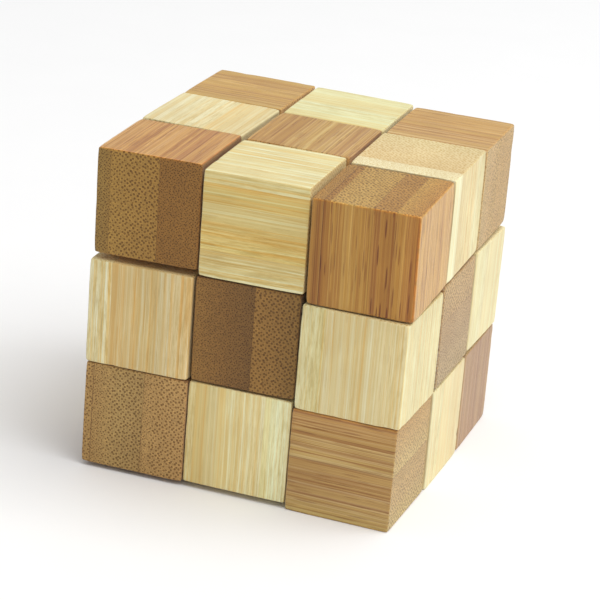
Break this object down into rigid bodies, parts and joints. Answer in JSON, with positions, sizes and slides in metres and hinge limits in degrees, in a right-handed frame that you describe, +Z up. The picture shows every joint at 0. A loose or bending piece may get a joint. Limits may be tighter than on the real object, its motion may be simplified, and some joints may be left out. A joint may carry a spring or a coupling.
{
  "type": "snake cube puzzle",
  "caption": "Folding wooden chain puzzle: bored bamboo cubelets, dark and light in turn, threaded on an elastic cord and folded up into a cube.",
  "frame": {"origin": "middle of the closed cube's plan, on the surface it stands on", "axes": "+X to the right along the wide front face, +Y to the back, +Z up"},
  "size_m": [0.0463, 0.0466, 0.0469],
  "materials": {
    "bamboo_dark": "satin",
    "bamboo_light": "satin",
    "elastic_cord": "matt braided elastic",
    "peg_wood": "raw"
  },
  "bodies": {
    "locked_core": {"cubelet_09_dark_turn": "bamboo_dark", "cubelet_10_light_turn": "bamboo_light", "cubelet_11_dark_turn": "bamboo_dark", "cubelet_12_light_turn": "bamboo_light", "cubelet_13_dark_straight": "bamboo_dark", "cubelet_14_light_turn": "bamboo_light", "cubelet_15_dark_straight": "bamboo_dark", "cubelet_16_light_turn": "bamboo_light", "cubelet_17_dark_turn": "bamboo_dark", "cubelet_18_light_turn": "bamboo_light", "cubelet_19_dark_straight": "bamboo_dark", "cubelet_20_light_turn": "bamboo_light", "cubelet_21_dark_turn": "bamboo_dark", "cubelet_22_light_straight": "bamboo_light", "cubelet_23_dark_turn": "bamboo_dark", "cord_core": "elastic_cord"},
    "cubelet_08": {"cubelet_08_light_straight": "bamboo_light", "cord_span_08": "elastic_cord"},
    "cubelet_07": {"cubelet_07_dark_turn": "bamboo_dark", "cord_span_07": "elastic_cord"},
    "cubelet_06": {"cubelet_06_light_straight": "bamboo_light", "cord_span_06": "elastic_cord"},
    "cubelet_05": {"cubelet_05_dark_turn": "bamboo_dark", "cord_span_05": "elastic_cord"},
    "cubelet_04": {"cubelet_04_light_straight": "bamboo_light", "cord_span_04": "elastic_cord"},
    "swivel_head": {"cord_swivel_head": "elastic_cord"},
    "cubelet_03": {"cubelet_03_dark_turn": "bamboo_dark", "cord_span_03": "elastic_cord"},
    "cubelet_02": {"cubelet_02_light_straight": "bamboo_light", "cord_span_02": "elastic_cord"},
    "cubelet_01": {"cubelet_01_dark_end": "bamboo_dark", "cord_span_01": "elastic_cord", "wedge_peg_head": "peg_wood"},
    "cubelet_24": {"cubelet_24_light_turn": "bamboo_light", "cord_span_24": "elastic_cord"},
    "swivel_tail": {"cord_swivel_tail": "elastic_cord"},
    "cubelet_25": {"cubelet_25_dark_turn": "bamboo_dark", "cord_span_25": "elastic_cord"},
    "cubelet_26": {"cubelet_26_light_straight": "bamboo_light", "cord_span_26": "elastic_cord"},
    "cubelet_27": {"cubelet_27_dark_end": "bamboo_dark", "cord_span_27": "elastic_cord", "wedge_peg_tail": "peg_wood"}
  },
  "joints": [
    {"name": "stretch_8_9", "type": "slide", "parent": "locked_core", "child": "cubelet_08", "axis": [0, 0, 1], "range_m": [0, 0.016], "stiffness_N_per_m": 120, "springref_m": -0.002},
    {"name": "stretch_7_8", "type": "slide", "parent": "cubelet_08", "child": "cubelet_07", "axis": [0, 0, 1], "range_m": [0, 0.016], "stiffness_N_per_m": 120, "springref_m": -0.002},
    {"name": "stretch_6_7", "type": "slide", "parent": "cubelet_07", "child": "cubelet_06", "axis": [0, 1, 0], "range_m": [0, 0.016], "stiffness_N_per_m": 120, "springref_m": -0.002},
    {"name": "stretch_5_6", "type": "slide", "parent": "cubelet_06", "child": "cubelet_05", "axis": [0, 1, 0], "range_m": [0, 0.016], "stiffness_N_per_m": 120, "springref_m": -0.002},
    {"name": "stretch_4_5", "type": "slide", "parent": "cubelet_05", "child": "cubelet_04", "axis": [-1, 0, 0], "range_m": [0, 0.016], "stiffness_N_per_m": 120, "springref_m": -0.002},
    {"name": "end_row_swing_head", "type": "hinge", "parent": "cubelet_04", "child": "swivel_head", "pos_m": [-0.0078, 0.0155, 0.03879], "axis": [1, 0, 0], "range_deg": [0, 180]},
    {"name": "end_row_give_head", "type": "hinge", "parent": "swivel_head", "child": "cubelet_03", "pos_m": [-0.0078, 0.01949, 0.03879], "axis": [-1, 0, 0], "range_deg": [0, 360]},
    {"name": "stretch_2_3", "type": "slide", "parent": "cubelet_03", "child": "cubelet_02", "axis": [0, -1, 0], "range_m": [0, 0.016], "stiffness_N_per_m": 120, "springref_m": -0.002},
    {"name": "stretch_1_2", "type": "slide", "parent": "cubelet_02", "child": "cubelet_01", "axis": [0, -1, 0], "range_m": [0, 0.016], "stiffness_N_per_m": 120, "springref_m": -0.002},
    {"name": "stretch_23_24", "type": "slide", "parent": "locked_core", "child": "cubelet_24", "axis": [-1, 0, 0], "range_m": [0, 0.016], "stiffness_N_per_m": 120, "springref_m": -0.002},
    {"name": "end_row_swing_tail", "type": "hinge", "parent": "cubelet_24", "child": "swivel_tail", "pos_m": [-0.01542, 0.00784, 0.0075], "axis": [0, -1, 0], "range_deg": [0, 180]},
    {"name": "end_row_give_tail", "type": "hinge", "parent": "swivel_tail", "child": "cubelet_25", "pos_m": [-0.01942, 0.00784, 0.0075], "axis": [0, 1, 0], "range_deg": [0, 360]},
    {"name": "stretch_25_26", "type": "slide", "parent": "cubelet_25", "child": "cubelet_26", "axis": [1, 0, 0], "range_m": [0, 0.016], "stiffness_N_per_m": 120, "springref_m": -0.002},
    {"name": "stretch_26_27", "type": "slide", "parent": "cubelet_26", "child": "cubelet_27", "axis": [1, 0, 0], "range_m": [0, 0.016], "stiffness_N_per_m": 120, "springref_m": -0.002}
  ],
  "couplings": [
    {"joint": "end_row_give_head", "follows": "end_row_swing_head", "ratio": 2},
    {"joint": "end_row_give_tail", "follows": "end_row_swing_tail", "ratio": 2}
  ]
}
